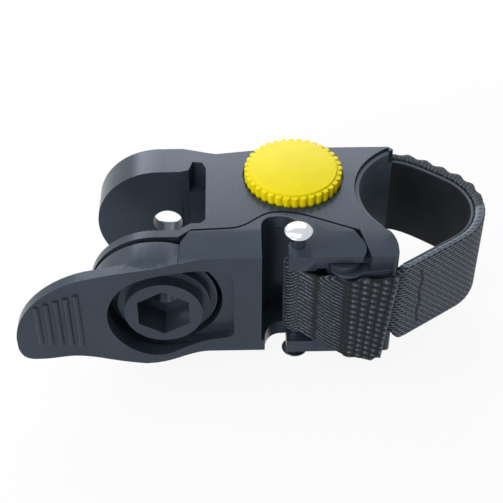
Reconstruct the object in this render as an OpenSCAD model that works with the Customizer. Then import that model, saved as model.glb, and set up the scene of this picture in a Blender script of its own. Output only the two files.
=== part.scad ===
/* [Clevis] */
// Height of the body, which is also the diameter of the two ears
body_h = 27; // [25:0.5:30]
// Distance of the ears' round outline from the bolt axis, to the left
ear_shift = 1.2; // [0.6:0.1:1.6]
// Width of the slot that takes the mudguard arm
slot_w = 17.8; // [14:0.2:19]
// Distance from the bolt axis to the closed end of the slot
slot_end = 8.4; // [7.6:0.1:9]
// Thickness of the far ear
far_ear_t = 7.7; // [6.5:0.1:9]
// Wall left round the bolt hole in the far ear, in front of its rear pocket
far_wall_t = 3; // [2:0.1:4]
// Radius of the pocket in the rear of the far ear
far_pocket_r = 6.8; // [5.5:0.1:8]
// Thickness of the near ear
near_ear_t = 2; // [1.6:0.1:2.4]
// Diameter of the bolt hole through both ears
bolt_d = 6.2; // [5.2:0.1:6.6]
// Width across the flats of the nut pocket
nut_af = 10; // [9:0.1:11]
// Depth of the nut pocket
nut_depth = 6; // [4:0.1:6.5]
// Radius of the round boss that holds the nut
boss_r = 7.65; // [7:0.05:8]
// Height of the boss above the near ear
boss_h = 7.2; // [6:0.1:8]
// Radius of the middle step of the boss
boss_mid_r = 9.1; // [8.6:0.05:9.6]
// Radius of the lowest step of the boss
boss_low_r = 10.5; // [10:0.05:10.7]

/* [Body] */
// Distance from the bolt axis to the narrow neck behind the far ear
neck_x = 10.5; // [9.5:0.1:12]
// Distance of the far wall from the middle of the slot at the neck
neck_y = 14.7; // [14.2:0.1:15.2]
// Distance of the far wall from the middle of the slot at the seat end
back_y = 16.45; // [16.2:0.05:16.8]
// Distance from the bolt axis to the far rear corner
corner_x = 46.8; // [46:0.1:47.6]
// Radius of the hollow seat for the seatpost
seat_r = 15.7; // [15.2:0.05:16.2]
// Distance from the bolt axis to the seatpost axis
seat_x = 54; // [53.5:0.1:54.8]
// Distance of the seatpost axis from the middle of the slot
seat_y = 2.3; // [1.6:0.1:3]
// Thickness of the rubber pad in the seat
pad_t = 1; // [0.6:0.1:1.3]
// Distance from the bolt axis to the right face of the front block
block_x = 45.4; // [44.6:0.1:46.2]
// Thickness of the base cover
cover_t = 1.6; // [1.2:0.1:1.8]

/* [Lever] */
// Distance from the bolt axis to the lever hinge
hinge_x = 35; // [34.7:0.1:35.3]
// Distance of the lever hinge from the middle of the slot, to the front
hinge_y = 14.2; // [14:0.1:14.4]
// Radius of the two hinge pins
hinge_r = 1.25; // [1:0.05:1.5]
// Distance of the lever's front face from the middle of the slot
front_y = 16.5; // [16.2:0.1:17]
// Gap along the seam between the lever and the body
seam_gap = 0.5; // [0.35:0.05:0.7]
// Radius of the rounded end of the arms
arm_end_r = 4.2; // [4:0.05:4.25]
// Radius of the body's hinge knuckles
knuckle_r = 3.4; // [3:0.1:3.6]
// Half of the free height between the two arms
arm_in = 9.9; // [9.6:0.1:10.2]
// Thickness of the lever's front skin
skin_t = 2.4; // [2:0.1:2.8]
// How far the thumb tab reaches past the bolt axis
tab_reach = 28.5; // [26:0.1:31]
// Radius of the hole in the lever that clears the boss
hub_hole_r = 11.5; // [11.3:0.05:11.7]
// Radius of the round part of the window that shows the boss
window_r = 10.9; // [10.6:0.05:11.1]
// Distance from the bolt axis to the right edge of the window
window_x = 13.7; // [13:0.1:14.4]
// Number of grip ribs on the thumb tab
rib_count = 5; // [3:1:6]
// Distance between two grip ribs
rib_pitch = 1.9; // [1.6:0.1:2.1]

/* [Strap pin] */
// Distance from the bolt axis to the strap pin
pin_x = 26.2; // [25.8:0.1:26.5]
// Distance of the strap pin from the middle of the slot, to the front
pin_y = 13.1; // [12.9:0.1:13.3]
// Radius of the strap pin
pin_r = 1.3; // [1.1:0.05:1.4]
// Radius of the pin's domed heads
head_r = 2.65; // [2.3:0.05:2.9]
// Height of a domed head
head_h = 1.25; // [1:0.05:1.5]
// Half of the length of the pin between its two heads
head_z = 15.5; // [15.1:0.1:16]

/* [Strap] */
// Width of the webbing
webbing_w = 20; // [18:0.2:20.4]
// Thickness of one layer of webbing
webbing_t = 1.2; // [1:0.05:1.3]
// Thickness of the webbing where it lies double round the loop
doubled_t = 2.45; // [2.2:0.05:2.6]
// Thickness of the smooth liner inside the loop
liner_t = 0.8; // [0.5:0.05:1]
// Width of the webbing where it is gathered between the knuckles
gathered_w = 14.4; // [13.4:0.2:14.8]
// Outer radius of the loop's round end
loop_r = 12.6; // [12:0.1:13.2]
// Distance from the bolt axis to the middle of the loop's round end
loop_x = 52.4; // [52:0.1:53]
// Distance of the middle of that round end from the middle of the slot
loop_y = 2.3; // [1.8:0.1:2.6]
// Distance from the bolt axis to the upper corner of the flap's free end
flap_x = 45.2; // [43:0.1:47]
// Height of the flap's lower edge below the middle of the strap
flap_low = 14; // [12:0.1:14.4]

/* [Knob] */
// Distance from the bolt axis to the knob axis
knob_x = 26.16; // [25.8:0.02:26.6]
// Distance of the knob axis from the middle of the slot
knob_y = 7.4; // [7.2:0.05:7.5]
// Radius over the knob's teeth
knob_r = 9.95; // [9.4:0.05:10.1]
// Thickness of the knob
knob_t = 2.75; // [2.2:0.05:3.4]
// Number of teeth round the knob
knob_teeth = 36; // [24:2:48]
// Depth of the round recess that the knob sits in
recess_d = 1.1; // [0.9:0.05:1.2]
// Radius of the spool's hub
spool_r = 3.5; // [3.2:0.1:3.7]
// Radius of the spool's two flanges
flange_r = 7; // [6.8:0.05:7.1]

/* [Hidden] */
$fn = 96;

// Colours
black_nylon = "#3a414a";
black_rubber = "#23272b";
black_webbing = "#2b2f36";
yellow_nylon = "#f4dd1e";
chrome = "#d8dce2";
steel = "#9aa0a6";
acetal = "#e6e4dc";

// Small clearances: a running fit, a tight fit and a loose one
run = 0.05;
snug = 0.02;
loose = 0.3;
// Overshoot of a cutting tool past the face it cuts
past = 1;

// Heights
half_h = body_h / 2;
ear_r = half_h;
slot_half = slot_w / 2;
bolt_r = bolt_d / 2;
// The top and bottom faces slope towards the front over this stretch
slope_y = 10;
slope_drop = 0.7;
// Knuckles and arm ends lie on each other, half and half
knuckle_in = gathered_w / 2 + 0.4;
knuckle_out = half_h - 2.5;
arm_end_in = knuckle_out + loose;

// Places along the front to back direction
near_out = slot_half + near_ear_t;
far_out = slot_half + far_ear_t;
boss_face = near_out + boss_h;
hub_back = near_out + 1.3;
mid_step_h = boss_h - 2.5;
low_step_h = boss_h - 4.4;

// Chamber for the spool
flange_t = 0.6;
webbing_top = webbing_w / 2;
chamber_top = webbing_top + flange_t + 0.5;
chamber_r = flange_r + 0.4;
cover_in = half_h - cover_t;
recess_r = knob_r + 0.35;
recess_z = half_h - recess_d;
washer_t = 0.4;
washer_r = 6.6;
knob_z = recess_z + washer_t;
coil_r = spool_r + webbing_t + 0.1;
bush_r = 4.9;
journal_r = 3.8;
foot_r = 3.2;
foot_bush_r = foot_r + 1;
anchor_r = 0.5;
anchor_h = 17;
key_w = 4;
screw_r = 1.2;

// Detent under the knob
detent_r = 8.6;
ball_r = 0.75;
ball_z = knob_z - run - ball_r;
spring_wire = 0.13;
spring_len = 4;

// Cubic curve through four control points, without its first point
function curve(a, b, c, d, n) = [for (i = [1:n]) let (t = i / n, s = 1 - t)
    s * s * s * a + 3 * s * s * t * b + 3 * s * t * t * c + t * t * t * d];
// Points of an arc, both ends included
function arc(c, r, from, to, n) = [for (i = [0:n]) let (a = from + (to - from) * i / n)
    c + r * [cos(a), sin(a)]];
// Direction of a path at point i, and the path shifted to its left by d
function unit(v) = v / norm(v);
function heading(p, i) = unit(p[min(i + 1, len(p) - 1)] - p[max(i - 1, 0)]);
function shifted(p, d) = [for (i = [0:len(p) - 1]) let (h = heading(p, i)) p[i] + d * [-h[1], h[0]]];
function reversed(p) = [for (i = [len(p) - 1:-1:0]) p[i]];
// Outline of a band between two shifts of one path
function band(p, d0, d1) = concat(shifted(p, d0), reversed(shifted(p, d1)));

hinge_at = [hinge_x, -hinge_y];
seam_end = hinge_at + [3.35, 4.75];

// Seam between body and lever, from the clevis to the arm end, on the body's side
crest_x = knob_x - 3.4;
crest_y = knob_y - recess_r - 0.75;
seam = concat([[5.7, -8.7], [13.2, -8.3]],
    curve([13.2, -8.3], [17.6, -8], [18.4, crest_y], [crest_x, crest_y], 12),
    curve([crest_x, crest_y], [25.4, crest_y], [27.2, -4.3], [30, -5.6], 8),
    [seam_end]);
ear_toe = [3.2, -near_out];
pin_at = [pin_x, -pin_y];
knob_at = [knob_x, knob_y];
seat_at = [seat_x, seat_y];

// The webbing from the spool through the body's channel to its mouth, inner face
coil_gap = 0.25;
channel_gap = 0.25;
liner_gap = 0.1;
mouth_at = [corner_x - 0.2, back_y];
channel_end = [corner_x - 4.2, back_y - 1.9];
channel_path = concat([[knob_x, knob_y + coil_r + coil_gap], channel_end],
    curve(channel_end, channel_end + [1.3, 0.3], mouth_at - [1.3, 0.7], mouth_at, 6));

// Round end of the loop. The inner face is a circle of its own, because the webbing lies
// double round the far side and single on the near side
entry_a = 50;
exit_a = -55.4;
thick_a = 30;
// The pad's two ends
pad_from = 180 - acos((seat_x - corner_x + 0.9) / seat_r);
pad_to = 223;
// The pad ends this far below the top face and above the bottom face
pad_edge = 0.7;
loop_at = [loop_x, loop_y];
inner_shift = (doubled_t - webbing_t) / (1 - cos(exit_a - thick_a));
inner_at = loop_at - inner_shift * [cos(thick_a), sin(thick_a)];
inner_r = loop_r - doubled_t + inner_shift;
function ring_at(c, r, a) = c + r * [cos(a), sin(a)];
// A path from the mouth that runs into a circle without a kink
function run_in(from, lift, c, r, n) = curve(from, from + lift,
    ring_at(c, r, entry_a) + 0.62 * r * [-sin(entry_a), cos(entry_a)], ring_at(c, r, entry_a), n);
far_inner = run_in(mouth_at, [2.2, 1.6], inner_at, inner_r, 10);
far_outer = run_in(mouth_at + [0, webbing_t], [2.2, 2.6], loop_at, loop_r, 10);
round_inner = arc(inner_at, inner_r, entry_a - 6, exit_a, 18);
round_outer = arc(loop_at, loop_r, entry_a - 6, exit_a, 18);

// Straight near side, then between the knuckles to the strap pin
near_dir = [sin(exit_a), -cos(exit_a)];
near_run = 12.5;
near_end = ring_at(inner_at, inner_r, exit_a) + near_run * near_dir;
wrap_r = pin_r + 0.1;
tail_x = hinge_x - 2.7;
pass_y = -pin_y + wrap_r + webbing_t;
hinge_pass = [hinge_x + 1.3, pass_y - 0.85];
near_path = concat([near_end], curve(near_end, near_end + 3.2 * near_dir,
    [hinge_x + 6.1, pass_y - 3.4], hinge_pass, 10), [[tail_x, pass_y]]);
room_path = concat([near_end - 6 * near_dir], near_path);
strap_inner = concat(channel_path, far_inner, round_inner, near_path);
strap_outer = concat(shifted(channel_path, webbing_t), far_outer, round_outer,
    shifted(near_path, webbing_t));
liner_path = concat([for (p = far_inner) if (p[0] > corner_x + 0.3) p], round_inner,
    [near_end, near_end + 0.7 * near_dir]);

// Turned-back end of the strap: back side, half turn round the pin and flap
flap_in = front_y + 1.2;
flap_from = pin_x + 6.4;
end_path = concat([[tail_x - 1.2, -pin_y + wrap_r]], arc(pin_at, wrap_r, 90, 270, 16),
    curve([pin_x, -pin_y - wrap_r], [pin_x + 2, -pin_y - wrap_r], [pin_x + 3.2, -flap_in],
        [flap_from, -flap_in], 8),
    [[flap_x, -flap_in - 0.4]]);

// Rear wall, grip ribs and core pockets of the lever
rear_t = 1.3;
rib_r = 0.62;
core_w = 4.2;
core_h = 8;
// Front face of the lever in plan, from the recess to the tip of the tab
bulge_y = front_y + 2.9;
tip_y = front_y + 5.4;
tip_x = -tab_reach;
recess_left = pin_x - 7;
recess_right = pin_x - 1.9;
root_x = recess_left - 1.6;
bend_x = window_x - 4.7;
tab_root = tip_x + 17;
skin_path = concat([[recess_left, -front_y], [bend_x, -front_y]],
    curve([bend_x, -front_y], [bend_x - 4.4, -front_y], [bend_x - 7, -bulge_y],
        [bend_x - 12.6, -bulge_y], 10),
    [[tab_root, -bulge_y]],
    curve([tab_root, -bulge_y], [tab_root - 5, -bulge_y], [tip_x + 7, -tip_y + 1.2],
        [tip_x, -tip_y], 10));
// Upper and lower edge of the lever's front, from the recess to the tip of the tab
skin_half = half_h - slope_drop;
upper_bend = tip_x + 15.5;
skin_upper = concat([[recess_left, skin_half], [5, skin_half]],
    curve([5, skin_half], [1, skin_half + 0.8], [-5, skin_half - 0.1], [upper_bend, skin_half - 1.9], 8),
    curve([upper_bend, skin_half - 1.9], [tip_x + 9.5, skin_half - 2.7], [tip_x + 3.1, skin_half - 5.4],
        [tip_x + 0.7, 0.8], 12),
    curve([tip_x + 0.7, 0.8], [tip_x, -1.2], [tip_x - 0.4, -4.6], [tip_x + 0.2, -6.3], 6));
skin_lower = concat(
    curve([tip_x + 0.2, -6.3], [tip_x + 0.7, -8.3], [tip_x + 1.7, -8.9], [tip_x + 3.3, -9.2], 6),
    curve([tip_x + 3.3, -9.2], [tip_x + 6, -9.8], [tip_x + 8, -9.5], [tip_x + 10.3, -9.8], 5),
    curve([tip_x + 10.3, -9.8], [tip_x + 14.5, 2.3 - skin_half], [tip_x + 16.5, 0.8 - skin_half],
        [-4.1, -skin_half - 0.3], 8),
    [[4, -skin_half], [recess_left, -skin_half]]);

// Far edge of the body in plan
far_edge = concat([[0, far_out], [3.4, far_out]],
    curve([3.4, far_out], [5.4, far_out - 0.4], [neck_x - 2.3, neck_y + 0.4], [neck_x, neck_y], 5),
    [[neck_x + 8, back_y - 0.7], [neck_x + 22, back_y], [corner_x - 0.7, back_y]],
    curve([corner_x - 0.7, back_y], [corner_x + 0.1, back_y], [corner_x + 0.6, back_y - 0.85],
        [corner_x + 1.1, back_y - 1.75], 5));
// Right face of the front block in plan, with its rounded corner
block_edge = concat([[block_x - 2.1, -9]],
    curve([block_x - 2.1, -9], [block_x - 1.2, -9.8], [block_x - 0.2, -11.2], [block_x, -13.6], 6),
    [[block_x, -front_y + 1]], arc([block_x - 1, -front_y + 1], 1, 0, -90, 4),
    [[hinge_x + 5.15, -front_y]]);
cover_screw_len = 8;
cover_edge = [[14.2, -1.6], [34.6, -1.6], [37, 2.6], [37.3, 8], [39.8, 11.6], [40.6, 15.5], [14.2, 13.2]];
screw_spots = [[16.7, 0.8], [34, 1.2], [36.6, 12.6], [16.7, 11]];

module both_sides() {
    children();
    mirror([0, 0, 1]) children();
}

// A prism that runs along Y, drawn in the XZ plane, from the front face y0 to the rear face y1
module along_y(y0, y1) {
    translate([0, y1, 0]) rotate([90, 0, 0]) linear_extrude(y1 - y0) children();
}

// Cuts the slope off the top and bottom faces near the front
module front_slopes(x0, x1) {
    both_sides()
        translate([x0, 0, 0]) rotate([90, 0, 90]) linear_extrude(x1 - x0)
            polygon([[-slope_y, half_h], [-front_y, half_h - slope_drop],
                [-front_y - 8, half_h - slope_drop], [-front_y - 8, half_h + 8], [-slope_y, half_h + 8]]);
}

module bolt_hole(r, y0, y1) {
    translate([0, y1, 0]) rotate([90, 0, 0]) cylinder(r = r, h = y1 - y0);
}

module body_plan() {
    difference() {
        polygon(concat(far_edge, [[seat_x, back_y - 2], [seat_x, -9]], block_edge, reversed(seam),
            [ear_toe, [0, -near_out]]));
        // Seat, which keeps a small lip in front of the pad's far end
        intersection() {
            translate(seat_at) circle(r = seat_r);
            union() {
                translate([0, seat_y - seat_r]) square([corner_x - 0.2, 2 * seat_r]);
                translate([0, seat_y - seat_r]) square([seat_x, seat_r]);
            }
        }
        translate(seat_at) circle(r = seat_r - pad_t - 0.05);
        translate([corner_x + 1.1, -9]) square([20, 40]);
    }
}

module knuckle_plan() {
    translate(hinge_at) circle(r = knuckle_r);
    polygon(concat([hinge_at], arc(hinge_at, arm_end_r + 1.1, -8, 62, 8)));
}

// Passage from the chamber to the far corner, which is open to the seat and to the rear
module webbing_channel() {
    translate([0, 0, -webbing_top - 0.3]) linear_extrude(webbing_w + 0.6) {
        polygon(band([channel_path[0], channel_path[1]], -channel_gap, webbing_t + channel_gap));
        translate([channel_end[0] - 0.2, seat_y]) square([7, back_y]);
    }
}

module clamp_body() {
    color(black_nylon)
    difference() {
        union() {
            translate([0, 0, -half_h]) linear_extrude(body_h) body_plan();
            along_y(slot_half, far_out) translate([-ear_shift, 0]) circle(r = ear_r);
            // The near ear ends at the seam
            intersection() {
                along_y(-near_out, -slot_half) translate([-ear_shift, 0]) circle(r = ear_r);
                translate([0, 0, -half_h]) linear_extrude(body_h)
                    polygon([[-ear_r - 2 * ear_shift, -near_out - past], ear_toe - [0, past], ear_toe,
                        seam[0], [seam[0][0], 0], [-ear_r - 2 * ear_shift, 0]]);
            }
            bolt_hole(boss_low_r, -near_out - low_step_h, -near_out + 0.5);
            bolt_hole(boss_mid_r, -near_out - mid_step_h, -near_out + 0.5);
            bolt_hole(boss_r, -boss_face, -near_out + 0.5);
            both_sides() translate([0, 0, knuckle_in]) linear_extrude(knuckle_out - knuckle_in)
                knuckle_plan();
        }
        // Slot for the mudguard arm, with a narrower closed end
        translate([-ear_r - ear_shift - past, -slot_half, -half_h - past])
            cube([ear_r + ear_shift + past + 3.4, slot_w, body_h + 2 * past]);
        translate([0, 0, -half_h - past]) linear_extrude(body_h + 2 * past)
            polygon([[3, -slot_half], [5.6, -slot_half + 1.9], [slot_end - 1, -slot_half + 1.9],
                [slot_end, -slot_half + 3], [slot_end, slot_half + 0.6], [4.8, slot_half + 0.6],
                [3, slot_half]]);
        // Scallops at the upper and lower corner of the closed end
        both_sides() translate([0, 0, far_pocket_r + 0.8]) linear_extrude(half_h)
            polygon([[4.8, slot_half + 0.5], [slot_end, slot_half + 0.5], [slot_end, slot_half + 1],
                [slot_end - 0.8, slot_half + 3], [5.6, slot_half + 3.3]]);
        bolt_hole(bolt_r, -boss_face - past, far_out + past);
        along_y(-boss_face - past, -boss_face + nut_depth) rotate(30) circle(d = nut_af / cos(30), $fn = 6);
        bolt_hole(far_pocket_r, slot_half + far_wall_t, far_out + past);
        front_slopes(30, block_x + 2);
        // Room for the strap between the two knuckles
        translate([0, 0, -knuckle_in]) linear_extrude(2 * knuckle_in)
            polygon(concat(shifted(room_path, -0.5), [[tail_x, -30], [block_x + 8, -30]]));
        both_sides() translate([hinge_at[0], hinge_at[1], knuckle_in - past])
            cylinder(r = hinge_r + snug, h = knuckle_out - knuckle_in + 2 * past);
        // Recess of the knob, bush bore, chamber and channel
        translate([knob_x, knob_y, recess_z]) cylinder(r = recess_r, h = recess_d + past);
        translate([knob_x, knob_y, 0]) cylinder(r = bush_r + snug, h = half_h + past);
        translate([knob_x, knob_y, -half_h - past]) cylinder(r = chamber_r, h = half_h + past + chamber_top);
        webbing_channel();
        // Seat and thread holes of the base cover
        translate([0, 0, -half_h - past]) linear_extrude(cover_t + 0.1 + past)
            offset(delta = 0.12) polygon(cover_edge);
        for (p = screw_spots) translate([p[0], p[1], -half_h]) cylinder(r = 0.95, h = cover_screw_len + 1);
        // Blind hole for the detent spring
        translate([knob_x - detent_r, knob_y, ball_z - spring_len - ball_r])
            cylinder(r = ball_r + run, h = spring_len + 6);
        // Lightening pockets in the underside
        translate([10.4, -5.4, -half_h - past]) cube([2.6, 17, body_h - 2.4 + past]);
    }
}

module base_cover() {
    color(black_nylon)
    difference() {
        union() {
            translate([0, 0, -half_h]) linear_extrude(cover_t) polygon(cover_edge);
            translate([knob_x, knob_y, -half_h]) cylinder(r = foot_bush_r + 1.2, h = cover_t);
        }
        translate([knob_x, knob_y, -half_h - past]) cylinder(r = foot_bush_r + snug, h = cover_t + 2 * past);
        for (p = screw_spots) translate([p[0], p[1], -half_h]) {
            translate([0, 0, -past]) cylinder(r = 1.05, h = cover_t + 2 * past);
            translate([0, 0, -0.01]) cylinder(r1 = 2.02, r2 = 1.05, h = 1);
        }
    }
}

module cover_screws() {
    color(steel)
    for (p = screw_spots) translate([p[0], p[1], -half_h + 0.05])
        difference() {
            union() {
                cylinder(r1 = 1.95, r2 = 1, h = 0.95);
                cylinder(r = 0.9, h = cover_screw_len);
            }
            for (a = [0, 90]) rotate(a) translate([-1.1, -0.2, -past]) cube([2.2, 0.4, past + 0.6]);
        }
}

module seat_pad() {
    color(black_rubber)
    translate([0, 0, -half_h + pad_edge]) linear_extrude(body_h - 2 * pad_edge)
        difference() {
            polygon(concat(arc(seat_at, seat_r - 0.03, pad_from, pad_to, 32),
                reversed(arc(seat_at, seat_r - pad_t, pad_from, pad_to, 32))));
            // Ends short of the strap
            polygon(concat(shifted(concat(channel_path, far_inner), -liner_gap),
                [[seat_x + seat_r, 2 * back_y], [knob_x, 2 * back_y]]));
        }
}

module hinge_pins() {
    color(steel)
    both_sides() translate([hinge_at[0], hinge_at[1], knuckle_in])
        cylinder(r = hinge_r, h = arm_end_in + 1.1 - knuckle_in);
}

// Side outline that gathers the strap between the knuckles
module gathered_outline() {
    g = gathered_w / 2;
    w = webbing_w / 2;
    polygon([[tail_x - 8, -g], [block_x - 0.2, -g], [block_x + 1.6, -w], [80, -w],
        [80, w], [block_x + 1.6, w], [block_x - 0.2, g], [tail_x - 8, g]]);
}

module webbing_loop() {
    color(black_webbing)
    intersection() {
        translate([0, 0, -webbing_w / 2]) linear_extrude(webbing_w)
            polygon(concat(strap_outer, reversed(strap_inner)));
        union() {
            translate([0, 0, -half_h]) cube([90, 40, body_h]);
            along_y(-40, 0) gathered_outline();
        }
    }
}

module strap_liner() {
    color(black_rubber)
    translate([0, 0, -webbing_w / 2 + 0.3]) linear_extrude(webbing_w - 0.6)
        polygon(band(liner_path, -liner_t, -liner_gap));
}

// Side outline of the flap, which hangs a little low and ends in a slanted edge
module flap_outline() {
    top = arm_in - 0.5;
    low = -arm_in + 1.3;
    polygon([[pin_x - 4, low], [pin_x + 4.5, low], [pin_x + 8.1, 2.8 - flap_low],
        [pin_x + 9.8, 1 - flap_low], [flap_x - 6.5, 0.9 - flap_low], [flap_x - 2.7, -flap_low],
        [flap_x - 1.5, 0.8 - flap_low], [flap_x - 1.3, 2.9 - flap_low], [flap_x, 8.5],
        [flap_x - 6.2, top + 0.4], [pin_x + 4, top], [pin_x - 4, top]]);
}

// Side outline of the part behind the pin, narrow enough to pass between the knuckles
module back_outline() {
    g = gathered_w / 2;
    top = arm_in - 0.5;
    low = -arm_in + 1.3;
    polygon([[pin_x - 4, low], [pin_x + 0.6, low], [pin_x + 2.4, -g], [tail_x, -g],
        [tail_x, g], [pin_x + 2.4, g], [pin_x + 0.6, top], [pin_x - 4, top]]);
}

module webbing_end() {
    color(black_webbing)
    intersection() {
        translate([0, 0, -half_h - 4]) linear_extrude(body_h + 8) polygon(band(end_path, -webbing_t, 0));
        union() {
            along_y(-30, -pin_y) flap_outline();
            along_y(-pin_y - 0.1, 0) back_outline();
        }
    }
}

module spindle_bush() {
    color(acetal)
    translate([knob_x, knob_y, 0]) difference() {
        translate([0, 0, chamber_top]) cylinder(r = bush_r, h = recess_z - chamber_top);
        cylinder(r = journal_r + run, h = half_h);
    }
}

module foot_bush() {
    color(acetal)
    translate([knob_x, knob_y, -half_h]) difference() {
        cylinder(r = foot_bush_r, h = cover_t);
        translate([0, 0, -past]) cylinder(r = foot_r + run, h = cover_t + 2 * past);
    }
}

module detent_ball() {
    color(steel) translate([knob_x - detent_r, knob_y, ball_z]) sphere(r = ball_r);
}

// Wire of the detent spring, swept along its own helix
module detent_spring() {
    coil = ball_r - spring_wire - 0.03;
    rings = 64;
    sides = 6;
    count = 6;
    h = spring_len - 2 * spring_wire;
    pts = [for (i = [0:rings]) let (a = 360 * count * i / rings, z = h * i / rings)
        for (k = [0:sides - 1]) let (b = 360 * k / sides)
            [(coil + spring_wire * cos(b)) * cos(a), (coil + spring_wire * cos(b)) * sin(a),
                z + spring_wire * sin(b)]];
    faces = concat([[for (k = [0:sides - 1]) k]],
        [for (i = [0:rings - 1]) for (k = [0:sides - 1]) let (n = (k + 1) % sides)
            [i * sides + k, (i + 1) * sides + k, (i + 1) * sides + n, i * sides + n]],
        [[for (k = [sides - 1:-1:0]) rings * sides + k]]);
    color(steel)
    translate([knob_x - detent_r, knob_y, ball_z - ball_r - spring_len + spring_wire + 0.02])
        polyhedron(points = pts, faces = faces);
}

// Outline of the lever's arms and rear wall in plan
module lever_plan() {
    back = [for (p = seam) if (p[0] < hinge_x) p - [0, seam_gap]];
    shoulder = hinge_at + [1.6, 5.03];
    polygon(concat([[hinge_x, -front_y], [3.6, -front_y], [3.6, -hub_back], [5.4, back[0][1]]], back,
        [shoulder],
        curve(shoulder, shoulder + [0.6, -0.3], shoulder + [0.95, -0.8], shoulder + [1.1, -1.3], 4),
        arc(hinge_at, arm_end_r, 38, -asin((front_y - hinge_y) / arm_end_r), 12)));
}

// Recess in the upper plate, where the strap is threaded round its pin
module upper_recess() {
    rim = crest_y - 1.6;
    polygon(concat([[recess_left, -front_y - 5], [recess_left, rim - 3.4]],
        curve([recess_left, rim - 3.4], [recess_left, rim - 0.6], [crest_x - 2.2, rim], [crest_x, rim], 6),
        curve([crest_x, rim], [crest_x + 2.6, rim], [pin_x + 1.2, rim - 1.8], [pin_x, -pin_y + 2.5], 6),
        [[recess_right, -pin_y], [recess_right, -front_y - 5]]));
}

// Shallower recess in the lower plate
module lower_recess() {
    left = recess_left + 0.8;
    rim = -pin_y + 1.9;
    polygon(concat([[recess_left + 0.4, -front_y - 5], [left, rim - 3.6]],
        curve([left, rim - 3.6], [left + 0.6, rim - 0.8], [left + 2.2, rim], [recess_right, rim], 6),
        [[recess_right, -front_y - 5]]));
}

module skin_outline() {
    polygon(concat(skin_upper, skin_lower));
}

module window_outline() {
    corner_r = 1.6;
    half = window_r - 2;
    hull() {
        circle(r = window_r, $fn = 64);
        for (z = [-1, 1]) translate([window_x - corner_r, z * (half - corner_r)])
            circle(r = corner_r, $fn = 32);
    }
}

// One grip rib of the thumb tab, number i from the root
module grip_rib(i) {
    x = tip_x + 12 - i * rib_pitch;
    y = -bulge_y - (tip_y - bulge_y) * pow(max(0, (tab_root - x) / (tab_root - tip_x)), 1.25);
    reach = 6.9 - 0.45 * i;
    translate([x, y + 0.25, -reach]) cylinder(r = rib_r, h = 2 * reach, $fn = 32);
}

module lever() {
    wall = [for (p = seam) p - [0, seam_gap]];
    rear = [for (p = wall) if (p[0] > crest_x - 8 && p[0] < hinge_x - 4.4) p];
    root = [for (p = wall) if (p[0] < root_x) p];
    color(black_nylon)
    difference() {
        union() {
            // Upper and lower plates, which run out into the two arms
            difference() {
                translate([0, 0, arm_in]) linear_extrude(half_h - arm_in) lever_plan();
                translate([0, 0, arm_in - past]) linear_extrude(10) upper_recess();
            }
            difference() {
                translate([0, 0, -half_h]) linear_extrude(half_h - arm_in) lever_plan();
                translate([0, 0, -half_h - past]) linear_extrude(10) lower_recess();
            }
            // Rear wall behind the strap pin and root of the blade
            translate([0, 0, -arm_in - 0.5]) linear_extrude(2 * arm_in + 1)
                polygon(concat(rear, reversed([for (p = rear) p - [0, rear_t]])));
            translate([0, 0, -arm_in - 0.5]) linear_extrude(2 * arm_in + 1)
                polygon(concat([[3.6, -front_y], [3.6, -hub_back], [5.4, wall[0][1]]], root,
                    [[root_x, crest_y - 2.7], [root_x, -front_y + 0.8], [root_x - 0.8, -front_y]]));
            // Hub that closes round the boss and narrows into the blade
            along_y(-front_y, -hub_back) translate([-ear_shift, 0]) circle(r = ear_r);
            translate([-ear_shift, -front_y, 0]) rotate([90, 0, 0])
                cylinder(r1 = ear_r, r2 = ear_r - slope_drop, h = skin_t);
            // Blade with the thumb tab
            intersection() {
                translate([0, 0, -half_h]) linear_extrude(body_h) polygon(band(skin_path, 0, -skin_t));
                along_y(-30, -5) skin_outline();
            }
        }
        // Hub hole, window and what would stand in front of the blade
        along_y(-front_y + 0.1, -5) circle(r = hub_hole_r);
        along_y(-30, -front_y + 2.2) window_outline();
        translate([0, 0, -half_h - past]) linear_extrude(body_h + 2 * past)
            polygon(concat(skin_path, [[tip_x, -40], [recess_left, -40]]));
        front_slopes(3.2, hinge_x + arm_end_r + 1);
        // Half of the arm ends makes room for the knuckles
        both_sides() translate([hinge_x, -hinge_y, arm_in - past])
            cylinder(r = knuckle_r + 0.4, h = arm_end_in - arm_in + past);
        both_sides() translate([hinge_x, -hinge_y - 10, arm_in - past])
            cube([10, 20, arm_end_in - arm_in + past]);
        // Pin bores
        both_sides() translate([hinge_x, -hinge_y, arm_in])
            cylinder(r = hinge_r + run, h = arm_end_in + 1.2 - arm_in);
        translate([pin_x, -pin_y, -half_h - past]) cylinder(r = pin_r + run, h = body_h + 2 * past);
        // Core pockets, open to the rear
        for (z = [-0.6 - core_h, 0.6]) translate([root_x - 1.8 - core_w, -front_y + skin_t + 1.4, z])
            cube([core_w, 12, core_h]);
    }
    // Grip ribs, which stand out of the face
    color(black_nylon) for (i = [0:rib_count - 1]) grip_rib(i);
}

// Rivet head: a low dome with a short straight edge
module rivet_head() {
    edge = 0.4;
    rise = head_h - edge;
    dome = (head_r * head_r + rise * rise) / (2 * rise);
    intersection() {
        cylinder(r = head_r, h = head_h + past);
        translate([0, 0, head_h - dome]) sphere(r = dome);
    }
}

module strap_pin() {
    color(chrome)
    translate([pin_x, -pin_y, 0]) union() {
        translate([0, 0, head_z]) rivet_head();
        translate([0, 0, -head_z - 0.6]) cylinder(r = pin_r, h = 2 * head_z + 0.8);
    }
}

module pin_cap() {
    color(chrome)
    translate([pin_x, -pin_y, -head_z]) difference() {
        mirror([0, 0, 1]) rivet_head();
        translate([0, 0, -0.65]) cylinder(r = pin_r + snug, h = 0.65 + past);
    }
}

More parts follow.
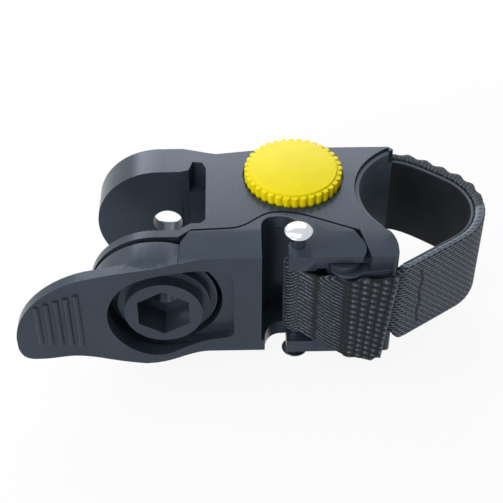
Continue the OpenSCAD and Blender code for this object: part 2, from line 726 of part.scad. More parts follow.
module tension_knob() {
    tooth_r = 0.62;
    edge = 0.6;
    color(yellow_nylon)
    translate([knob_x, knob_y, knob_z]) difference() {
        union() {
            intersection() {
                linear_extrude(knob_t) union() {
                    circle(r = knob_r - tooth_r + 0.1);
                    for (i = [0:knob_teeth - 1]) rotate(i * 360 / knob_teeth)
                        translate([knob_r - tooth_r, 0]) circle(r = tooth_r, $fn = 24);
                }
                rotate_extrude() polygon([[0, 0], [knob_r + past, 0], [knob_r + past, knob_t - edge - past],
                    [knob_r - 1.5, knob_t - 0.15], [0, knob_t]]);
            }
            // Square key that turns the spool
            translate([-key_w / 2, -key_w / 2, -4.6]) cube([key_w, key_w, 5]);
        }
        // Underside: screw hole and one shallow dimple for each click
        translate([0, 0, -5]) cylinder(r = screw_r + snug, h = 6.4);
        for (i = [0:knob_teeth / 2 - 1]) rotate(180 + i * 720 / knob_teeth)
            translate([detent_r, 0, -past]) cylinder(r = 0.45, h = past + 0.25, $fn = 24);
    }
}

module spool() {
    top = webbing_top + 0.15;
    foot = -half_h + 0.3;
    color(black_nylon)
    translate([knob_x, knob_y, 0]) difference() {
        rotate_extrude() polygon([[0, foot], [foot_r, foot], [foot_r, -cover_in + 0.2],
            [flange_r, -cover_in + 0.2], [flange_r, -top], [spool_r, -top], [spool_r, top],
            [flange_r, top], [flange_r, top + flange_t], [journal_r, top + flange_t],
            [journal_r, knob_z - 0.05], [0, knob_z - 0.05]]);
        translate([0, 0, -half_h - past]) cylinder(r = screw_r + 0.1, h = body_h);
        translate([0, 0, foot - past]) cylinder(r = 2.1, h = 1.5 + past);
        translate([spool_r - anchor_r - 0.2, 0, -half_h - past])
            cylinder(r = anchor_r + snug, h = half_h + past - webbing_top + anchor_h + 0.1);
        translate([-key_w / 2 - run, -key_w / 2 - run, knob_z - 4.8])
            cube([key_w + 2 * run, key_w + 2 * run, 8]);
    }
}

module webbing_coil() {
    color(black_webbing)
    translate([knob_x, knob_y, -webbing_w / 2]) difference() {
        cylinder(r = coil_r, h = webbing_w);
        translate([0, 0, -past]) cylinder(r = spool_r + 0.1, h = webbing_w + 2 * past);
    }
}

// Pin that holds the end of the strap in the spool's hub
module strap_anchor() {
    color(steel)
    translate([knob_x + spool_r - anchor_r - 0.2, knob_y, -webbing_top])
        cylinder(r = anchor_r, h = anchor_h);
}

module knob_screw() {
    foot = -half_h + 0.5;
    color(steel)
    translate([knob_x, knob_y, foot]) difference() {
        union() {
            cylinder(r = 2, h = 1.25);
            cylinder(r = screw_r, h = knob_z + 1 - foot);
        }
        translate([0, 0, -past]) cylinder(d = 2 / cos(30), h = past + 0.9, $fn = 6);
    }
}

module thrust_washer() {
    color(acetal)
    translate([knob_x, knob_y, recess_z + snug]) difference() {
        cylinder(r = washer_r, h = washer_t - 2 * snug);
        translate([0, 0, -past]) cylinder(r = journal_r + 0.15, h = washer_t + 2 * past);
    }
}

clamp_body();
base_cover();
cover_screws();
seat_pad();
hinge_pins();
webbing_loop();
strap_liner();
spindle_bush();
foot_bush();
detent_ball();
detent_spring();
lever();
strap_pin();
pin_cap();
webbing_end();
tension_knob();
spool();
webbing_coil();
strap_anchor();
knob_screw();
thrust_washer();
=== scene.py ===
# %% [markdown]
# # Mudguard mount
# A bicycle's quick-release mudguard mount: a moulded body with a clevis for the
# mudguard's arm, a lever that closes over it, a woven strap that goes round the
# seatpost, and a yellow knob that winds the strap in. The solids come from the
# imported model. This script gives them their finishes and rounded rims, and
# makes meshes of its own where a solid is too plain, as for the webbing.

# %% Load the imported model
from math import cos, hypot, pi, radians, sin, sqrt

import bmesh
import bpy
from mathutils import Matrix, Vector, noise


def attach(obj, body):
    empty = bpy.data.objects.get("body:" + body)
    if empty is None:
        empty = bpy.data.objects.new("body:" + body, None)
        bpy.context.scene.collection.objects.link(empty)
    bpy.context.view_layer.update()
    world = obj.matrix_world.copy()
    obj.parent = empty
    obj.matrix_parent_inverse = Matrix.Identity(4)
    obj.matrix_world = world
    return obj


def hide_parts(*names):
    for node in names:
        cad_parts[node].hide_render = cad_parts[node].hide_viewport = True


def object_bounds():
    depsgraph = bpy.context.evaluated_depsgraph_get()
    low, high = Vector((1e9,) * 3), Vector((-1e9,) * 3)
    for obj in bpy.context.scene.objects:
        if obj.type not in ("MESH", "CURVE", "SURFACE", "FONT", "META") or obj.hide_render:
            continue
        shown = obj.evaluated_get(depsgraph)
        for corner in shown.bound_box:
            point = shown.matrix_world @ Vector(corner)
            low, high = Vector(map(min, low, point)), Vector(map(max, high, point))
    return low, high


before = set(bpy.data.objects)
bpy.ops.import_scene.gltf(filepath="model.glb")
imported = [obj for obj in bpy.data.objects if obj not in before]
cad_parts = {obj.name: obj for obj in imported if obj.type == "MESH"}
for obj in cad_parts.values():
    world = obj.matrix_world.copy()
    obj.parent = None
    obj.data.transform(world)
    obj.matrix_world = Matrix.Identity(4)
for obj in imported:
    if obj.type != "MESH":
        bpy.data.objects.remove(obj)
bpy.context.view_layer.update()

# %% [markdown]
# Sizes below are written in millimetres, as they are in the model's source, and
# Blender works in metres. Colours are written as they look on screen, and a
# shader needs them linear, so one function turns them. A noise texture's scale
# counts patches in a metre, so it is worked out from the width of one patch.

# %% Units, colours and scales
MM = 0.001


def mm(*values):
    """A point given in millimetres, in metres."""
    return Vector([v * MM for v in values])


def linear(code):
    """A screen colour such as "#3a414a" as linear red, green, blue and alpha."""
    screen = [int(code[i:i + 2], 16) / 255 for i in (1, 3, 5)]
    turned = [c / 12.92 if c <= 0.04045 else ((c + 0.055) / 1.055) ** 2.4 for c in screen]
    return tuple(turned) + (1.0,)


def scale_for(width):
    """The scale of a noise whose patches have a width in millimetres."""
    return 1 / (width * MM)


print("slate:", [round(c, 3) for c in linear("#3a414a")], "1 mm patches:", round(scale_for(1)))

# %% [markdown]
# A material is a small network of nodes. One function sets a node's sockets and
# another adds a node, so that each finish below reads from top to bottom as a
# recipe. A value that is the same all over stays on the shader's own socket.

# %% Nodes and materials
def connect(tree, made, inputs):
    """Sets a node's sockets, named or numbered, to values or to other nodes' outputs."""
    for key, value in inputs.items():
        if isinstance(value, bpy.types.NodeSocket):
            tree.links.new(value, made.inputs[key])
        else:
            made.inputs[key].default_value = value
    return made


def node(tree, kind, inputs=(), stops=(), **settings):
    """Adds a node. A colour ramp also gets its stops, each a place and a colour."""
    made = tree.nodes.new("ShaderNode" + kind)
    for key, value in settings.items():
        setattr(made, key, value)
    if stops:
        elements = made.color_ramp.elements
        while len(elements) < len(stops):
            elements.new(0.5)
        for element, (place, colour) in zip(elements, stops):
            element.position = place
            element.color = linear(colour)
    return connect(tree, made, dict(inputs))


def start_material(name):
    """An empty finish: the material, its tree and its Principled shader."""
    material = bpy.data.materials.new(name)
    material.use_nodes = True
    tree = material.node_tree
    return material, tree, tree.nodes["Principled BSDF"]


print("helpers ready")

# %% [markdown]
# The body and the lever are glass-filled nylon from a spark-eroded mould. That
# gives a slate black with a satin sheen and a fine grain, which breaks up the
# highlights. A flat colour would look like paint, so one noise moves both the
# roughness and a small bump. Real grain of 0.12 mm is too fine to show here, so
# it is drawn three times as coarse.

# %% Moulded nylon
GRAIN_W = 0.357
PATCH_W = 11.1


def moulded_nylon():
    material, tree, shader = start_material("glass_filled_nylon")
    place = node(tree, "TexCoord").outputs["Object"]
    grain = node(tree, "TexNoise", {"Vector": place, "Scale": scale_for(GRAIN_W), "Detail": 3,
                                    "Roughness": 0.55})
    cloud = node(tree, "TexNoise", {"Vector": place, "Scale": scale_for(PATCH_W), "Detail": 2,
                                    "Roughness": 0.5})
    slate = node(tree, "ValToRGB", {"Fac": cloud.outputs["Fac"]},
                 stops=[(0.35, "#313943"), (0.65, "#373f4a")])
    dull = node(tree, "MapRange", {"Value": grain.outputs["Fac"], "To Min": 0.22, "To Max": 0.33})
    bump = node(tree, "Bump", {"Height": grain.outputs["Fac"], "Strength": 0.18,
                               "Distance": 0.04 * MM})
    connect(tree, shader, {"Base Color": slate.outputs["Color"], "IOR": 1.5,
                           "Roughness": dull.outputs["Result"], "Specular IOR Level": 0.32,
                           "Specular Tint": linear("#cfe2ff"), "Normal": bump.outputs["Normal"]})
    return material


nylon = moulded_nylon()
print("made", nylon.name)

# %% [markdown]
# The knob is coloured nylon from a polished mould: smoother, with a soft gloss
# and a very slight unevenness. Its yellow is warm and full, and light that gets
# into it comes out again between the teeth. A little subsurface does that,
# where a brighter base colour would only flatten the teeth.

# %% Yellow nylon
def yellow_nylon():
    material, tree, shader = start_material("yellow_nylon")
    place = node(tree, "TexCoord").outputs["Object"]
    cloud = node(tree, "TexNoise", {"Vector": place, "Scale": scale_for(3.85), "Detail": 2,
                                    "Roughness": 0.5})
    warm = node(tree, "ValToRGB", {"Fac": cloud.outputs["Fac"]},
                stops=[(0.35, "#f2de08"), (0.65, "#f6e30e")])
    bump = node(tree, "Bump", {"Height": cloud.outputs["Fac"], "Strength": 0.10,
                               "Distance": 0.1 * MM})
    connect(tree, shader, {"Base Color": warm.outputs["Color"], "IOR": 1.5, "Roughness": 0.36,
                           "Specular IOR Level": 0.12, "Subsurface Weight": 0.12,
                           "Subsurface Radius": (1.2 * MM, 0.9 * MM, 0.2 * MM),
                           "Subsurface Scale": 0.5, "Normal": bump.outputs["Normal"]})
    return material


yellow = yellow_nylon()
print("made", yellow.name)

# %% [markdown]
# Metals next. The rivet is polished chrome, whose fine wear makes some spots
# duller than others. The screws and inner pins are plain zinc-plated steel with
# the faint patches of the bath. The bushes are natural acetal, a milky plastic
# that is turned or moulded without colour.

# %% Chrome, steel and acetal
def polished_chrome():
    material, tree, shader = start_material("polished_chrome")
    place = node(tree, "TexCoord").outputs["Object"]
    wear = node(tree, "TexNoise", {"Vector": place, "Scale": scale_for(1.11), "Detail": 4,
                                   "Roughness": 0.6})
    dull = node(tree, "MapRange", {"Value": wear.outputs["Fac"], "To Min": 0.10, "To Max": 0.24})
    connect(tree, shader, {"Base Color": linear("#cdd0d6"), "Metallic": 1.0,
                           "Roughness": dull.outputs["Result"]})
    return material


def zinc_steel():
    material, tree, shader = start_material("zinc_plated_steel")
    place = node(tree, "TexCoord").outputs["Object"]
    patch = node(tree, "TexNoise", {"Vector": place, "Scale": scale_for(1.67), "Detail": 4,
                                    "Roughness": 0.6})
    zinc = node(tree, "ValToRGB", {"Fac": patch.outputs["Fac"]},
                stops=[(0.3, "#a4a8ad"), (0.7, "#b9bcc0")])
    connect(tree, shader, {"Base Color": zinc.outputs["Color"], "Metallic": 1.0, "Roughness": 0.36})
    return material


def natural_acetal():
    material, tree, shader = start_material("natural_acetal")
    place = node(tree, "TexCoord").outputs["Object"]
    cloud = node(tree, "TexNoise", {"Vector": place, "Scale": scale_for(3.33), "Detail": 2,
                                    "Roughness": 0.5})
    milky = node(tree, "ValToRGB", {"Fac": cloud.outputs["Fac"]},
                 stops=[(0.35, "#e2dfd4"), (0.65, "#e9e6dc")])
    connect(tree, shader, {"Base Color": milky.outputs["Color"], "IOR": 1.48, "Roughness": 0.42})
    return material


chrome, steel, acetal = polished_chrome(), zinc_steel(), natural_acetal()
print("made", chrome.name, steel.name, acetal.name)

# %% [markdown]
# The pad in the seat and the liner of the loop are moulded rubber, duller than
# the nylon and with a faint bloom. Their upper rim is paler, because a cut or
# moulded edge catches the light. That edge is too narrow for a bevel to show
# it, so the colour changes above a height instead.

# %% Rubber
PAD_RIM_Z, LINER_RIM_Z = 12.5, 9.35


def moulded_rubber(name, low, high, rim, rim_z):
    """Rubber between two shades, with a paler rim above a height."""
    material, tree, shader = start_material(name)
    place = node(tree, "TexCoord").outputs["Object"]
    bloom = node(tree, "TexNoise", {"Vector": place, "Scale": scale_for(4.55), "Detail": 4,
                                    "Roughness": 0.6})
    face = node(tree, "ValToRGB", {"Fac": bloom.outputs["Fac"]}, stops=[(0.35, low), (0.65, high)])
    height = node(tree, "SeparateXYZ", {0: place}).outputs["Z"]
    upper = node(tree, "Math", {0: height, 1: rim_z * MM}, operation="GREATER_THAN")
    edge = node(tree, "Mix", {0: upper.outputs["Value"], 6: face.outputs["Color"], 7: linear(rim)},
                data_type="RGBA")
    grain = node(tree, "TexNoise", {"Vector": place, "Scale": scale_for(0.417), "Detail": 2,
                                    "Roughness": 0.5})
    bump = node(tree, "Bump", {"Height": grain.outputs["Fac"], "Strength": 0.2,
                               "Distance": 0.04 * MM})
    connect(tree, shader, {"Base Color": edge.outputs[2], "IOR": 1.5, "Roughness": 0.6,
                           "Specular IOR Level": 0.2, "Normal": bump.outputs["Normal"]})
    return material


pad_rubber = moulded_rubber("moulded_pad_rubber", "#4a5561", "#55616d", "#66707c", PAD_RIM_Z)
rubber = moulded_rubber("moulded_liner_rubber", "#181c22", "#1e2329", "#4d5560", LINER_RIM_Z)
print("made", pad_rubber.name, rubber.name)

# %% [markdown]
# The strap is woven polyester webbing. Its threads are real relief on the mesh,
# and the material adds what is finer: the single fibres that run along each
# thread, painted shade in the gaps between threads, a painted highlight on the
# threads' crowns, and a sheen at grazing angles. The painted shade and highlight
# follow the gaps' depth, an attribute that the mesh carries, and the fibres
# follow the mesh's own UV map, so both bend with the strap. A fibre is finer than
# a hair, so a bundle of them, 0.11 mm wide, is drawn.

# %% Woven webbing
FIBRE_L, FIBRE_W = 1.11, 0.111


def woven_webbing():
    material, tree, shader = start_material("woven_polyester_webbing")
    high = node(tree, "Attribute", attribute_name="thread_height").outputs["Fac"]
    along = node(tree, "UVMap", uv_map="strap").outputs["UV"]
    squeeze = node(tree, "Mapping", {"Vector": along,
                                     "Scale": (scale_for(FIBRE_L), scale_for(FIBRE_W), 1)})
    fibre = node(tree, "TexNoise", {"Vector": squeeze.outputs["Vector"], "Scale": 1.0, "Detail": 2,
                                    "Roughness": 0.5}, noise_dimensions="2D")
    faint = node(tree, "Math", {0: fibre.outputs["Fac"], 1: 0.25}, operation="MULTIPLY")
    mixed = node(tree, "Math", {0: high, 1: faint.outputs["Value"]}, operation="ADD")
    # Painted shade: near black where the thread height is low, in the gaps, slits and grooves; painted
    # highlight: pale where it is high, on the thread crowns.
    yarn_with_painted_light = node(tree, "ValToRGB", {"Fac": mixed.outputs["Value"]},
                stops=[(0.28, "#05070a"), (0.6, "#21272f"), (0.9, "#4c5561"), (1.0, "#737c88")])
    bump = node(tree, "Bump", {"Height": fibre.outputs["Fac"], "Strength": 0.35,
                               "Distance": 0.06 * MM})
    connect(tree, shader, {"Base Color": yarn_with_painted_light.outputs["Color"], "IOR": 1.5, "Roughness": 0.6,
                           "Specular IOR Level": 0.25, "Sheen Weight": 0.1, "Sheen Roughness": 0.4,
                           "Sheen Tint": linear("#9aa2ae"), "Normal": bump.outputs["Normal"]})
    return material


webbing = woven_webbing()
print("made", webbing.name)

# %% [markdown]
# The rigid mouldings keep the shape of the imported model. A real moulding has no
# knife edges, though: every rim is rounded and catches a thin line of light. So
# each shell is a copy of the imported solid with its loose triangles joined, its
# flat faces made whole and its sharp edges bevelled. A bevel modifier would
# round the triangles' seams too, so the bevel is cut here, on the real edges.

# %% Rounded shells
def add_piece(name, mesh, body, slot, *nodes):
    """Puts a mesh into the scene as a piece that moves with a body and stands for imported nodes."""
    piece = bpy.data.objects.new(name, mesh)
    bpy.context.scene.collection.objects.link(piece)
    if nodes:
        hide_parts(*nodes)
    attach(piece, body)
    return piece


def finish_mesh(name, bm, material, angle):
    """A mesh of one material, smooth but for creases where faces meet at more than the angle."""
    mesh = bpy.data.meshes.new(name)
    bm.to_mesh(mesh)
    bm.free()
    for face in mesh.polygons:
        face.use_smooth = True
    mesh.set_sharp_from_angle(angle=radians(angle))
    mesh.materials.append(material)
    return mesh


def round_edges(bm, edges, width, segments=3):
    """Bevels some edges by a width in millimetres."""
    bmesh.ops.bevel(bm, geom=edges, offset=width * MM, segments=segments, profile=0.5,
                    affect="EDGES", material=-1, clamp_overlap=True)


def rounded_shell(name, source, width, material, body, slot, crease=28, fit=None):
    """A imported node's solid with bevelled edges. fit may move its points first."""
    bm = bmesh.new()
    bm.from_mesh(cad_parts[source].data)
    bmesh.ops.remove_doubles(bm, verts=bm.verts, dist=0.002 * MM)
    bmesh.ops.dissolve_limit(bm, angle_limit=radians(1.0), verts=bm.verts, edges=bm.edges)
    if fit:
        fit(bm)
    sharp = [e for e in bm.edges
             if len(e.link_faces) == 2 and e.calc_face_angle(0) > radians(crease)]
    round_edges(bm, sharp, width)
    bmesh.ops.remove_doubles(bm, verts=bm.verts, dist=0.001 * MM)
    mesh = finish_mesh(name, bm, material, 38)
    piece = add_piece(name, mesh, body, slot, source)
    even = piece.modifiers.new("even_light", "WEIGHTED_NORMAL")
    even.keep_sharp = True
    print(name, "edges rounded:", len(sharp), "faces:", len(mesh.polygons))
    return piece


print("helpers ready")

# %% [markdown]
# Two of the shells are fitted before their edges are rounded. The front
# edge of the underside is level behind the hinge, and the lever's two arms lie
# a little lower inside than those of the imported solid. Moving the few points
# that matter keeps every other face of the solid as it is.

# %% Body, lever and knob
HALF_H = 13.5
SLOPE_Y, SLOPE_H = -10.01, 0.68
ARM_X, ARM_CUTS = (23.5, 29.6), (29.5, 29.8)
ARM_IN, UPPER_IN, LOWER_IN = 9.9, 9.3, -10.4


def level_underside(bm, from_x):
    """Takes the slope off the front edge of the underside, to the right of a place."""
    for vert in bm.verts:
        x, y, z = [c / MM for c in vert.co]
        if x > from_x and y < SLOPE_Y and -HALF_H < z < SLOPE_H - HALF_H + 0.05:
            vert.co.z = (0.02 - HALF_H) * MM


def fit_body(bm):
    """The body's underside is level round the front block."""
    level_underside(bm, 39.5)


def fit_lever(bm):
    """The inner sides of the lever's two arms are set anew, and its underside is level there."""
    for x in ARM_CUTS:
        bmesh.ops.bisect_plane(bm, geom=bm.verts[:] + bm.edges[:] + bm.faces[:],
                               plane_co=mm(x, 0, 0), plane_no=(1, 0, 0), dist=0.0001 * MM)
    for vert in bm.verts:
        x, y, z = [c / MM for c in vert.co]
        if ARM_X[0] < x < ARM_X[1] and ARM_IN - 0.05 < abs(z) < ARM_IN + 0.05:
            vert.co.z = (UPPER_IN if z > 0 else LOWER_IN) * MM
    level_underside(bm, ARM_X[0])


rounded_shell("body_shell", "clamp_body", 0.35, nylon, "body", "nylon", fit=fit_body)
rounded_shell("lever_shell", "lever", 0.3, nylon, "lever", "nylon", fit=fit_lever)
rounded_shell("knob_shell", "tension_knob", 0.16, yellow, "knob", "knob_nylon", crease=32)

# %% [markdown]
# The pieces inside and below keep the shape of their solids: they are small and
# hardly seen, so a finish is all they need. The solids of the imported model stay
# where they are, and only their material slots are filled.

# %% Finishes of the nodes that keep their own shape
FINISHES = {
    nylon: ["base_cover", "spool"],
    acetal: ["spindle_bush", "foot_bush", "thrust_washer"],
    steel: ["cover_screws", "hinge_pins", "detent_ball", "detent_spring", "strap_anchor", "knob_screw"],
    webbing: ["webbing_coil"],
}
for finish, names in FINISHES.items():
    for name in names:
        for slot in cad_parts[name].material_slots:
            slot.material = finish
        print(name, "is", finish.name)

# %% [markdown]
# The strap is drawn in plan first, from arcs and cubic curves. A few helpers
# make those, move a path sideways to find the other face of the webbing, and
# space its points evenly, so that threads keep their width along the strap.

# %% Curves in plan
def clamp(value):
    """The value, kept from 0 to 1."""
    return min(1.0, max(0.0, value))


def ring_point(centre, radius, angle):
    """A point of a circle at an angle in degrees."""
    return (centre[0] + radius * cos(radians(angle)), centre[1] + radius * sin(radians(angle)))


def on_arc(centre, radius, start, end, count):
    """An arc's points, both ends included, angles in degrees."""
    return [ring_point(centre, radius, start + (end - start) * i / count) for i in range(count + 1)]


def on_curve(a, b, c, d, count):
    """A cubic curve's points, without its first."""
    points = []
    for i in range(1, count + 1):
        t = i / count
        s = 1 - t
        points.append(tuple(s ** 3 * p + 3 * s * s * t * q + 3 * s * t * t * r + t ** 3 * u
                            for p, q, r, u in zip(a, b, c, d)))
    return points


def offset_path(path, distance):
    """The path moved to its left by a distance."""
    moved = []
    for i, (x, y) in enumerate(path):
        x0, y0 = path[max(i - 1, 0)]
        x1, y1 = path[min(i + 1, len(path) - 1)]
        length = hypot(x1 - x0, y1 - y0)
        moved.append((x - distance * (y1 - y0) / length, y + distance * (x1 - x0) / length))
    return moved


def steps_of(path):
    """The distances from each point of a path to the next."""
    return [hypot(b[0] - a[0], b[1] - a[1]) for a, b in zip(path, path[1:])]


def evenly(path, count):
    """The same path as equally spaced points."""
    steps = steps_of(path)
    total = sum(steps)
    points, i, passed = [], 0, 0.0
    for k in range(count):
        want = total * k / (count - 1)
        while i < len(steps) - 1 and passed + steps[i] < want:
            passed += steps[i]
            i += 1
        t = (want - passed) / steps[i]
        a, b = path[i], path[i + 1]
        points.append((a[0] + t * (b[0] - a[0]), a[1] + t * (b[1] - a[1])))
    return points


print("half a circle of radius 1 is", round(sum(steps_of(on_arc((0, 0), 1, 0, 180, 60))), 3))

# %% [markdown]
# The strap comes out of the body's far corner, goes round the place of the
# seatpost, and runs back between the hinge's knuckles. Its two faces have their
# own circles, because the webbing lies double round the far side and single on
# the near side. The curves are those of the model's source.

# %% Route of the strap
WEBBING_T, DOUBLED_T, LINER_T = 1.2, 2.45, 0.8
LOOP, LOOP_R = (52.4, 2.3), 12.6
ENTRY, EXIT, THICK = 50, -55.4, 30
HINGE, PIN, PIN_R, PIN_GAP = (35.0, -14.2), (26.2, -13.1), 1.3, 0.1
CHANNEL_END, MOUTH = (42.6, 14.55), (46.6, 16.45)
NEAR_RUN, TAIL_RUN = 12.5, 2.7
HANDLE = 0.62

shift = (DOUBLED_T - WEBBING_T) / (1 - cos(radians(EXIT - THICK)))
INNER = (LOOP[0] - shift * cos(radians(THICK)), LOOP[1] - shift * sin(radians(THICK)))
INNER_R = LOOP_R - DOUBLED_T + shift


def run_in(start, lift, centre, radius):
    """From the mouth of the body into a circle without a kink."""
    end = ring_point(centre, radius, ENTRY)
    pull = (end[0] - HANDLE * radius * sin(radians(ENTRY)),
            end[1] + HANDLE * radius * cos(radians(ENTRY)))
    return on_curve(start, (start[0] + lift[0], start[1] + lift[1]), pull, end, 24)


near = (sin(radians(EXIT)), -cos(radians(EXIT)))
inner_exit = ring_point(INNER, INNER_R, EXIT)
near_end = (inner_exit[0] + NEAR_RUN * near[0], inner_exit[1] + NEAR_RUN * near[1])
pass_y = PIN[1] + PIN_R + PIN_GAP + WEBBING_T
tail_x = HINGE[0] - TAIL_RUN
near_path = [near_end] + on_curve(near_end, (near_end[0] + 3.2 * near[0], near_end[1] + 3.2 * near[1]),
                                  (HINGE[0] + 6.1, pass_y - 3.4), (HINGE[0] + 1.3, pass_y - 0.85), 20)
near_path.append((tail_x, pass_y))
channel = [CHANNEL_END] + on_curve(CHANNEL_END, (43.9, 14.85), (45.3, 15.75), MOUTH, 8)
inner_path = (channel + run_in(MOUTH, (2.2, 1.6), INNER, INNER_R)
              + on_arc(INNER, INNER_R, ENTRY - 2, EXIT, 60) + near_path)
outer_path = (offset_path(channel, WEBBING_T)
              + run_in((MOUTH[0], MOUTH[1] + WEBBING_T), (2.2, 3.3), LOOP, LOOP_R)
              + on_arc(LOOP, LOOP_R, ENTRY - 2, EXIT, 60) + offset_path(near_path, WEBBING_T))
print("strap's outer face, mm:", round(sum(steps_of(outer_path)), 1))

# %% [markdown]
# Webbing shows its threads: warp threads run along the strap, each one over a
# weft thread and under the next. On the loop they lie close, with short slits
# between the rows that are painted dark as shade, and a row of stitches crosses
# the near side. The weave is written as a height from 0 to 1 at each place, so
# one function serves both the relief and the colour, which is painted shade
# where the height is low and a painted highlight where it is high.

# %% Weave of the loop
ROW, PICK = 0.73, 1.4
STITCH_X, STITCH_HALF = 50.5, 7.5
HALF_W = 10.0


def bell(value, middle, width):
    """A smooth bump from 0 to 1 round a middle."""
    return 2.718 ** (-((value - middle) / width) ** 2)


def loop_weave(along, across, point):
    """Height of the close weave, from 0 in a slit to 1 on a thread, places in millimetres."""
    row = across / ROW
    index = round(row)
    drift = 0.08 * noise.noise(Vector((index * 3.1, along * 0.4, 0)))
    phase = along / PICK + 0.5 * (index % 2) + drift
    slit = bell(row, index, 0.3) * (0.5 + 0.5 * cos(2 * pi * phase)) ** 0.9
    stitched = point[1] < 0 and abs(across) < STITCH_HALF
    seam = bell(point[0] + 0.2 * sin(across * 1.1), STITCH_X, 0.22) if stitched else 0.0
    edge = 0.55 * bell(abs(across), HALF_W, 1.1) * (1 if point[1] > 2 else 0)
    high = (1 - 0.95 * slit - 0.3 * bell(row, index, 0.2)
            + 0.2 * noise.noise(Vector((along * 2.3, across * 2.3, 4))))
    return max(0.0, high * (1 - 0.9 * seam) * (1 - edge * (0.7 + 0.3 * sin(2 * pi * along / 0.9))))


print("threads in a row:", round(2 * HALF_W / ROW), "every", PICK, "mm")

# %% [markdown]
# The strap's end has a looser weave. Near the pin the pull draws the threads
# out into slanting ribs, in three zones with a slope of their own. Beyond them
# it shows plump beads in columns. Two grooves mark where it was folded.

# %% Weave of the flap
RIB_ZONES = [(26.3, -0.8, 0.8), (29.6, 0.12, 1.0), (35.4, 0.7, 0.9)]
BEAD_X, BEAD_COLUMN, BEAD_ROW = 36.0, 2.0, 1.46
FOLD_X, FOLD_END_X, CUT_X = 29.5, 35.1, 44.85
CUT_HEIGHT = 0.8


def ribs(along, across, slope, pitch):
    """Height of slanting ribs."""
    wobble = 0.22 * noise.noise(Vector((along * 0.9, across * 0.5, 2)))
    rib = abs(sin(pi * (across + slope * along + wobble) / pitch)) ** 1.2
    return rib * (0.8 + 0.35 * noise.noise(Vector((along * 3, across * 3, 9))))


def beads(x, across):
    """Height of beads in columns, each column half a bead off the next."""
    column = (x - BEAD_X) / BEAD_COLUMN
    index = int(column // 1)
    share = column - index
    wobble = 0.15 * noise.noise(Vector((index * 2.3, across * 0.6, 7)))
    bead = abs(sin(pi * (across / BEAD_ROW + 0.5 * (index % 2) + 0.35 * share + wobble)))
    high = sin(pi * share) ** 0.9 * (0.05 + 0.95 * bead ** 1.1) * (1 - 0.3 * bell(share, 0.62, 0.07))
    return high * (0.92 + 0.3 * noise.noise(Vector((x * 2.6, across * 2.6, 5))))


def flap_weave(along, across, point):
    """Height of the looser weave, which starts in front of the pin and ends at the cut."""
    x, y = point
    if y > PIN[1]:
        return loop_weave(along, across, point)
    if x > CUT_X:
        return CUT_HEIGHT
    zone = next(((slope, pitch) for end, slope, pitch in RIB_ZONES if x < end), None)
    high = ribs(x, across, *zone) if zone else beads(x, across)
    groove = 0.85 * bell(x + 0.15 * sin(across * 1.7), FOLD_X, 0.45) + 0.6 * bell(x, FOLD_END_X, 0.4)
    return max(0.0, high * (1 - groove))


print("rib zones:", len(RIB_ZONES), "then beads every", BEAD_COLUMN, "mm")

# %% [markdown]
# A bump map can't give threads at the outline, so the strap is one closed tube
# of small faces, lifted where a thread lies on top. A flat grid is bent round
# the strap's section, its outer face first and its inner face back again, and
# the stations of the grid follow the route. Then the two long sides are joined
# and the ends are closed.

# %% Strap mesh
MEAN_HEIGHT = 0.7
INSIDE_UV = 25


def strap_mesh(name, inner, outer, edges_at, relief, stations, across_points, weave=None, wave=None,
               slant=None, finish=webbing, edge_r=0.55, relief_inside=1.0):
    """A closed strap between two faces. edges_at gives its lower and upper edge at a point in plan."""
    length = sum(steps_of(outer))
    out_points, in_points = evenly(outer, stations), evenly(inner, stations)
    ring = 2 * across_points - 1
    bm = bmesh.new()
    bmesh.ops.create_grid(bm, x_segments=stations - 1, y_segments=ring - 1, size=1)
    height = bm.verts.layers.float.new("thread_height")
    layer = bm.loops.layers.uv.new("strap")
    place = {}
    for number, vert in enumerate(sorted(bm.verts, key=lambda v: (round(v.co.x * 1e4), v.co.y))):
        i, j = divmod(number, ring)
        outside = j < across_points
        # From -1 at the lower edge to 1 at the upper one, and back on the inside
        share = -1 + 2 * j / (across_points - 1)
        share = share if outside else 2 - share
        along = length * i / (stations - 1)
        low, high = edges_at(out_points[i])
        z = low + (high - low) * (share + 1) / 2
        (xo, yo), (xi, yi) = out_points[i], in_points[i]
        thick = hypot(xo - xi, yo - yi)
        nx, ny = (xo - xi) / thick, (yo - yi) / thick
        inset = (1 - abs(share)) * (high - low) / 2
        round_off = sqrt(max(0.0, 1 - max(0.0, 1 - inset / edge_r) ** 2))
        woven = weave(along, z, out_points[i]) if weave else 0.0
        lift = relief * (1 if outside else relief_inside) * (woven - MEAN_HEIGHT)
        push = (thick / 2 + lift) * round_off * (1 if outside else -1)
        if wave:
            push += wave(along, out_points[i]) * max(0.0, share) ** 2 * (1 if outside else 0.2)
        x, y = (xo + xi) / 2 + nx * push, (yo + yi) / 2 + ny * push
        vert.co = mm(x + slant(x, z) if slant else x, y, z)
        vert[height] = woven
        place[vert] = (along * MM, (share * HALF_W + (0 if outside else INSIDE_UV)) * MM)
    for face in bm.faces:
        for loop in face.loops:
            loop[layer].uv = place[loop.vert]
    bmesh.ops.remove_doubles(bm, verts=bm.verts, dist=0.004 * MM)
    open_edges = [e for e in bm.edges if e.is_boundary]
    caps = bmesh.ops.holes_fill(bm, edges=open_edges, sides=0)["faces"]
    bmesh.ops.triangulate(bm, faces=caps)
    bmesh.ops.recalc_face_normals(bm, faces=bm.faces)
    mesh = bpy.data.meshes.new(name)
    bm.to_mesh(mesh)
    bm.free()
    for face in mesh.polygons:
        face.use_smooth = True
    mesh.materials.append(finish)
    print(name, "length", round(length, 1), "mm, faces", len(mesh.polygons))
    return mesh


print("helper ready")

# %% [markdown]
# The loop's webbing is 20 mm high and is gathered where it passes between the
# knuckles. Its upper edge is wavy on the far side. The wave dies out towards the
# lower edge, so it is added to the mesh and not to the route.

# %% Loop
GATHER_X, GATHER_RUN, GATHER = 47.1, 1.8, 2.8
WAVE, WAVE_PITCH = 0.36, 3.95


